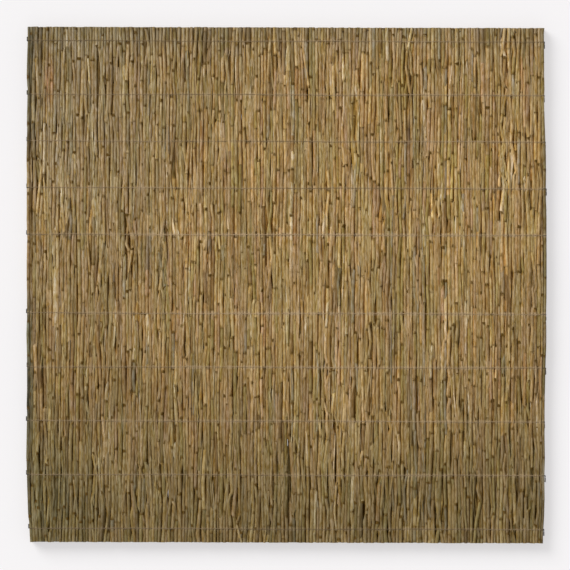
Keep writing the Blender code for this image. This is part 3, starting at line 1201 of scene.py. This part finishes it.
@dataclass
class ReedBand:
    """The reeds between two columns of staples, through the whole thickness of the panel."""

    number: int
    left: float
    right: float
    stack: Stack
    weather_and_painted_light: WeatherAndPaintedLight
    husks: int = 144
    husk_length: tuple[float, float] = (0.05, 0.30)
    husk_width: tuple[float, float] = (0.0022, 0.0060)
    husk_slant: float = 0.032
    husk_margin: float = 0.010
    husk_end: float = 0.86
    wide_husk_share: float = 0.12
    wide_husk_factor: float = 2.2
    husk_strip: float = 0.14
    husk_columns: int = 4

    def _members(self) -> np.ndarray:
        """The numbers of the stalks that belong to this band."""
        edges = (-1.0 if self.number == 1 else self.left, 1.0 if self.right > 0.9 else self.right)
        return np.flatnonzero((self.stack.start >= edges[0]) & (self.stack.start < edges[1]))

    def build(self, finish: bpy.types.Material) -> bpy.types.Object:
        """Makes the band's stalks and loose scraps as one piece.

        Args:
            finish: The reed's finish.

        Returns:
            The piece.
        """
        skin = Skin()
        members = self._members()
        layers = [Layer(int(self.stack.layer[index])) for index in members]
        strips = np.array([DETAILS[layer].strip for layer in layers])
        edges = np.concatenate([[0.0], np.cumsum(strips)]) / strips.sum() * (1.0 - self.husk_strip)
        for index, layer, left, right in zip(members, layers, edges[:-1], edges[1:]):
            margin = 0.03 * (right - left)
            culm = Culm(int(index), self.stack, layer, PANEL_SEED * 7 + int(index))
            culm.add_to(skin, (left + margin, right - margin), self.weather_and_painted_light)
        self._add_husks(skin)
        return skin.piece(f"reed_band_{self.number}", finish)

    def _husk(self, rng: np.random.Generator) -> Husk:
        """Picks one loose scrap by chance."""
        tones = list(HUSK_TONES)
        length = float(rng.uniform(*self.husk_length))
        end = self.husk_end - length / 2
        return Husk(
            x=float(rng.uniform(self.left + self.husk_margin, self.right - self.husk_margin)),
            y=float(rng.uniform(-end, end)),
            length=length,
            width=float(
                rng.uniform(*self.husk_width)
                * (self.wide_husk_factor if rng.random() < self.wide_husk_share else 1.0)
            ),
            slant=float(rng.normal(0.0, self.husk_slant)),
            tone=tones[int(rng.choice(len(tones), p=tuple(HUSK_TONES.values())))],
            seed=int(rng.integers(1 << 30)),
        )

    def _add_husks(self, skin: Skin) -> None:
        """Strews the loose scraps over the band's face, the palest ones at their own places."""
        rng = np.random.default_rng(PANEL_SEED * 13 + self.number)
        each = self.husks // self.husk_columns
        known = [scrap for scrap in PALE_SCRAPS if self.left <= scrap[0] < self.right]
        for count in range(self.husks):
            husk = self._husk(rng)
            if count < len(known):
                husk = Husk(*known[count], Tone.CREAM, husk.seed)
            column, place = divmod(count, each)
            left = 1.0 - self.husk_strip * (1.0 - (column + 0.05) / self.husk_columns)
            across = (left, left + 0.9 * self.husk_strip / self.husk_columns)
            along = ((place + 0.03) / each, (place + 0.97) / each)
            husk.add_to(skin, self.stack, self.weather_and_painted_light, across, along)

    def nodes(self) -> tuple[str, str, str]:
        """The three solids of the frame whose place the piece takes."""
        return tuple(f"{layer}_reeds_{self.number}" for layer in ("front", "core", "back"))


def sweep(path: np.ndarray, radius: float, sides: int, start_up: Colour) -> np.ndarray:
    """Rings of points square to a path, without twist.

    Args:
        path: The points of the path.
        radius: The radius of the rings.
        sides: The points of a ring.
        start_up: A direction that is not along the path's start.

    Returns:
        The rings (points, sides, 3).
    """
    run = np.gradient(path, axis=0)
    run /= np.linalg.norm(run, axis=1, keepdims=True)
    angle = TURN * np.arange(sides) / sides
    rings = []
    side = np.cross(run[0], start_up)
    for point, ahead in zip(path, run):
        side = side - ahead * np.dot(side, ahead)
        side /= np.linalg.norm(side)
        over = np.cross(side, ahead)
        rings.append(point + radius * (np.outer(np.cos(angle), side) + np.outer(np.sin(angle), over)))
    return np.array(rings)


@dataclass
class WireRow:
    """One row of wire across the face or the back, with its two tails and, on the face, its staples."""

    number: int
    row: Row
    front: bool
    stack: Stack
    radius: float = 0.0010
    staple_radius: float = 0.0006
    staple_tarnish: float = 0.25
    leg_offset: float = 0.0030
    lift: float = 0.00005
    step: float = 0.0065
    sides: int = 6
    start_up: Colour = (0.013, 0.091, 0.995)
    inset: float = 0.003
    sag_share: float = 0.45
    sag: float = 0.0011
    sways: tuple[float, float] = (0.0011, 0.0005)
    long_turns: tuple[float, float] = (5, 9)
    short_turn: float = 31
    calm: tuple[float, float] = (0.02, 0.03)
    bend_depth: float = 0.004
    bend_from: float = 0.35
    bend_steps: int = 5
    leg_steps: int = 4
    leg_lean: tuple[float, float] = (0.1, 0.75)
    leg_gaps: tuple[float, float] = (0.0035, 0.0045)
    lead: tuple[float, float] = (0.0004, 0.0022)
    coil_lead: float = 0.0012
    tail_length: float = 0.0140
    left_start: float = -0.0015
    right_start: float = -0.0080
    tail_turns: float = 1.6
    tail_steps: int = 18
    coil: float = 0.00125
    reach: float = 0.9076
    stand_off: float = 0.0036
    tail_shade: float = 0.95

    def _line(self) -> np.ndarray:
        """The wire's middle line from one side edge to the other, lying on the reeds and swaying a little."""
        rng = np.random.default_rng(PANEL_SEED + 31 * self.number + (7 if self.front else 0))
        left, right = (float(PLAN.half_width(np.array(self.row.y), right=side)) for side in (False, True))
        x = np.arange(self.inset - left, right - self.inset, self.step)
        height = self.stack.face_height(x, self.row.y, self.front)
        gap = height - (PLAN.front_z if self.front else PLAN.back_z)
        sunk = np.convolve(np.pad(gap, 2, mode="edge"), np.ones(5) / 5, mode="valid") * self.sag_share
        if self.front:
            z = PLAN.front_wire_z + np.clip(sunk, -self.sag, 0.0)
        else:
            z = PLAN.back_wire_z + np.clip(sunk, 0.0, self.sag)
        sway = self.sways[0] * np.sin(x * rng.uniform(*self.long_turns) + rng.uniform(0, 6))
        sway += self.sways[1] * np.sin(x * self.short_turn + rng.uniform(0, 6))
        from_staple = np.min(np.abs(x[:, None] - np.array(PLAN.staple_columns)), axis=1)
        from_end = np.minimum(x - x[0], x[-1] - x)
        sway *= smooth(0.0, self.calm[0], from_staple) * smooth(0.0, self.calm[1], from_end)
        return joined(x, self.row.y + sway, z)

    def _end(self, tip: np.ndarray) -> np.ndarray:
        """One end of the wire: round the side edge, to half the thickness and into the twist.

        Args:
            tip: The last point of the wire on its face of the panel.

        Returns:
            The points to the tip of the twisted tail, which runs up the left edge or down the right one.
        """
        sign = 1.0 if self.front else -1.0
        out = math.copysign(1.0, tip[0])
        y = self.row.y
        start = self.right_start if out > 0 else self.left_start
        edge = min(float(PLAN.half_width(np.array(y), right=out > 0)) + self.stand_off, self.reach)
        middle = (PLAN.front_wire_z + PLAN.back_wire_z) / 2
        turn = np.linspace(self.bend_from, math.pi / 2, self.bend_steps)
        bend_x = tip[0] + out * (edge - abs(tip[0])) * np.sin(turn)
        bend_z = tip[2] - sign * self.bend_depth * (1 - np.cos(turn))
        high, low = bend_z[-1] - sign * self.leg_gaps[0], middle + sign * self.leg_gaps[1]
        lean = start * np.linspace(*self.leg_lean, self.leg_steps)
        leg = joined(out * edge, y + lean, np.linspace(high, low, self.leg_steps))
        lead = np.array([[out * edge, y + start - out * self.lead[0], middle + sign * self.lead[1]]])
        run = np.linspace(0.0, 1.0, self.tail_steps)
        angle = sign * math.pi / 2 + TURN * self.tail_turns * run
        coil_x = out * edge + self.coil * np.cos(angle)
        coil_y = y + start - out * (self.coil_lead + run * self.tail_length)
        coil = joined(coil_x, coil_y, middle + self.coil * np.sin(angle))
        return np.concatenate([joined(bend_x, y, bend_z), leg, lead, coil])

    def _staple(self, column: float) -> np.ndarray:
        """The path of one staple: over this row's wire, through the reeds and under the wire at the back."""
        leg = self.leg_offset
        top = PLAN.front_wire_z + self.radius * 0.55
        bottom = self.staple_radius + self.lift
        leg_z = np.linspace(bottom + 0.0009, top - 0.0030, 5)
        bow = np.linspace(0, math.pi, 9)
        arc = [(math.cos(a) * leg, top - leg * 0.55 + math.sin(a) * leg * 0.62) for a in bow]
        route = [(-0.2 * leg, bottom + 0.0001), (leg * 0.7, bottom)]
        route += [(leg, z) for z in leg_z] + arc + [(-leg, z) for z in leg_z[::-1]]
        route += [(-leg * 0.7, bottom), (leg * 0.2, bottom + 0.0001)]
        return np.array([(column, self.row.y + dy, z) for dy, z in route])

    def _add(self, skin: Skin, path: np.ndarray, radius: float, shade_and_tarnish: Any, strip: tuple[int, int]) -> None:
        """Adds one length of wire to the mesh.

        Args:
            skin: The mesh that is being made.
            path: The wire's middle line.
            radius: Its radius.
            shade_and_tarnish: How dark it is or each point of it, tarnished on staples, painted shade on
                tails.
            strip: The number of its strip in the flat layout and how many strips there are.
        """
        rings = sweep(path, radius, self.sides, self.start_up)
        x = path[:, 0]
        dirt = self.row.dirt * (0.6 + 0.4 * np.sin(x * 4.1 + self.number))
        # Painted light and shade: each row as light as the panel's painted light there, darker to the left.
        light = self.row.light * (0.80 + 0.20 * smooth(-0.80, -0.20, x))
        marks = np.repeat(joined(shade_and_tarnish, dirt, light)[:, None, :], self.sides, axis=1)
        across = tuple((strip[0] + margin) / strip[1] for margin in (0.05, 0.95))
        along = np.linspace(0.0, 1.0, len(path) + 2)
        skin.tube(rings[:, ::-1], np.full_like(marks, 0.5), marks, across, along)

    def build(self, finish: bpy.types.Material) -> bpy.types.Object:
        """Makes the wire, its tails and its staples as one piece.

        Args:
            finish: The wire's finish.

        Returns:
            The piece.
        """
        skin = Skin()
        line = self._line()
        line = np.concatenate([self._end(line[0])[::-1], line, self._end(line[-1])])
        columns = PLAN.staple_columns if self.front else ()
        strips = 1 + len(columns)
        # Painted shade on the twisted tails at the side edges.
        shade_and_tarnish = smooth(0.888, 0.899, np.abs(line[:, 0])) * self.tail_shade
        self._add(skin, line, self.radius, shade_and_tarnish, (0, strips))
        for count, column in enumerate(columns, start=1):
            self._add(skin, self._staple(column), self.staple_radius, self.staple_tarnish, (count, strips))
        side = "front" if self.front else "back"
        return skin.piece(f"wire_{side}_{self.number}", finish, sharp=75.0)

    def node(self) -> str:
        """The solid of the frame whose place the piece takes."""
        return f"{'front' if self.front else 'back'}_wire_{self.number}"


@dataclass
class Studio:
    """A plain pale floor, soft light from the upper left, and a camera straight above the panel."""

    camera_height: float = 16.0
    view_width: float = 1.9895
    sensor: float = 36.0
    aim: tuple[float, float] = (-0.0044, 0.0)
    roll: float = 0.0028
    floor_half: float = 14.0
    ambient: float = 0.50
    direct: float = 0.50
    light_height: float = 34.0
    light_turn: float = 45.0
    light_angle: float = 36.0

    def build(self) -> None:
        """Makes the floor, the light and the camera, and sets how colours are shown."""
        self._floor()
        self._world()
        self._lamp()
        self._camera()
        bpy.context.scene.view_settings.view_transform = "Standard"

    def _floor(self) -> None:
        """Makes the floor that the panel lies on."""
        half = self.floor_half
        corners = [(-half, -half, 0), (half, -half, 0), (half, half, 0), (-half, half, 0)]
        mesh = bpy.data.meshes.new("floor")
        mesh.from_pydata(corners, [], [(0, 1, 2, 3)])
        mesh.materials.append(FloorFinish().make())
        placed("floor", mesh)

    def _world(self) -> None:
        """Makes the even light from all round, which the camera sees as a pale backdrop."""
        world = bpy.data.worlds.new("studio")
        world.use_nodes = True
        bpy.context.scene.world = world
        board = Board(world.node_tree)
        dim = board.shader("ShaderNodeBackground", (1.0, 1.0, 1.0), self.ambient)
        pale = board.shader("ShaderNodeBackground", FloorFinish().colour, 1.0)
        board.end("ShaderNodeOutputWorld", board.mix_shaders(board.seen(), dim, pale))

    def _lamp(self) -> None:
        """Makes the broad soft light."""
        lamp = bpy.data.lights.new("soft_light", "SUN")
        lamp.energy = self.direct * math.pi / math.sin(math.radians(self.light_height))
        lamp.angle = math.radians(self.light_angle)
        tilt, heading = math.radians(90.0 - self.light_height), math.radians(180.0 + self.light_turn)
        placed("soft_light", lamp).rotation_euler = (tilt, 0.0, heading)

    def _camera(self) -> None:
        """Hangs the camera over the panel."""
        data = bpy.data.cameras.new("camera")
        data.sensor_width = self.sensor
        data.lens = self.sensor * self.camera_height / self.view_width
        camera = placed("camera", data)
        camera.location = (*self.aim, self.camera_height + PLAN.front_z)
        camera.rotation_euler = (0.0, 0.0, self.roll)
        bpy.context.scene.camera = camera


def report(piece: bpy.types.Object, nodes: Sequence[str]) -> None:
    """Ties a piece to the frame and logs it.

    Args:
        piece: The new piece.
        nodes: The solids of the frame whose place it takes.
    """
    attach(piece, BODY)
    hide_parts(*nodes)
    log.info("%s: %d faces, in place of %s", piece.name, len(piece.data.polygons), ", ".join(nodes))


def main() -> None:
    """Builds the panel band by band and row by row, then the studio."""
    logging.basicConfig(level=logging.INFO, format="%(message)s")
    stack = Stack()
    log.info("%d stalks packed", len(stack.start))
    weather_and_painted_light = WeatherAndPaintedLight()
    reed = ReedFinish().make()
    for number, (left, right) in enumerate(PLAN.band_edges(), start=1):
        band = ReedBand(number, left, right, stack, weather_and_painted_light)
        report(band.build(reed), band.nodes())
    zinc = ZincFinish().make()
    for front in (True, False):
        for number, row in enumerate(PLAN.rows, start=1):
            wire = WireRow(number, row, front, stack)
            report(wire.build(zinc), (wire.node(),))
    Studio().build()


if __name__ == "__main__":
    main()
